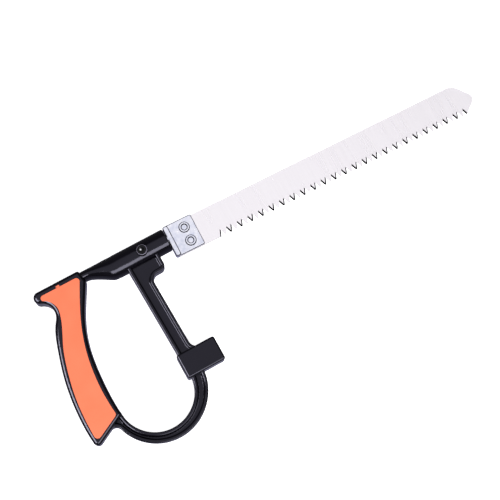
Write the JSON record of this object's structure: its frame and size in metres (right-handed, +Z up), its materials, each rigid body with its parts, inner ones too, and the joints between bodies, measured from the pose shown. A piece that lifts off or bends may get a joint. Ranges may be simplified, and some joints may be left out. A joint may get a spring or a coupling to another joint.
{
  "type": "bow saw",
  "caption": "Pistol-grip hand saw: cast D-handle with grip inlays, a barrel socket and clamp screw, and a straight coarse-toothed wood blade on a riveted shank.",
  "frame": {"origin": "centre of the footprint of the whole saw, on the flat it lies on", "axes": "+X along the barrel to the blade's tip, +Y from the teeth to the blade's back, +Z up through the thickness, out of the clamp screw's head"},
  "size_m": [0.4115, 0.1543, 0.0233],
  "materials": {
    "frame_paint": "semi-gloss black enamel on a casting",
    "grip_orange": "satin orange",
    "zinc_plate": "bright zinc plate",
    "blade_steel": "fine cross-brushed",
    "screw_black": "oiled black oxide"
  },
  "bodies": {
    "handle": {"handle_frame": "frame_paint", "grip_inlay_front": "grip_orange", "grip_inlay_back": "grip_orange"},
    "washer": {"screw_washer": "screw_black"},
    "screw": {"clamp_screw": "screw_black"},
    "blade_unit": {"blade_shank": "zinc_plate", "holder_cheek_front": "zinc_plate", "holder_cheek_back": "zinc_plate", "saw_blade": "blade_steel", "blade_rivets": "zinc_plate"}
  },
  "joints": [
    {"name": "screw_lift", "type": "slide", "parent": "handle", "child": "washer", "axis": [0, 0, 1], "range_m": [0, 0.003]},
    {"name": "screw_turn", "type": "hinge", "parent": "washer", "child": "screw", "pos_m": [-0.1012, 0.0667, 0.0178], "axis": [0, 0, 1], "range_deg": [0, 1351]},
    {"name": "blade_draw", "type": "slide", "parent": "handle", "child": "blade_unit", "axis": [1, 0, 0], "range_m": [0, 0.05]}
  ],
  "couplings": [
    {"joint": "screw_turn", "follows": "screw_lift", "rad_per_m": 7854}
  ]
}
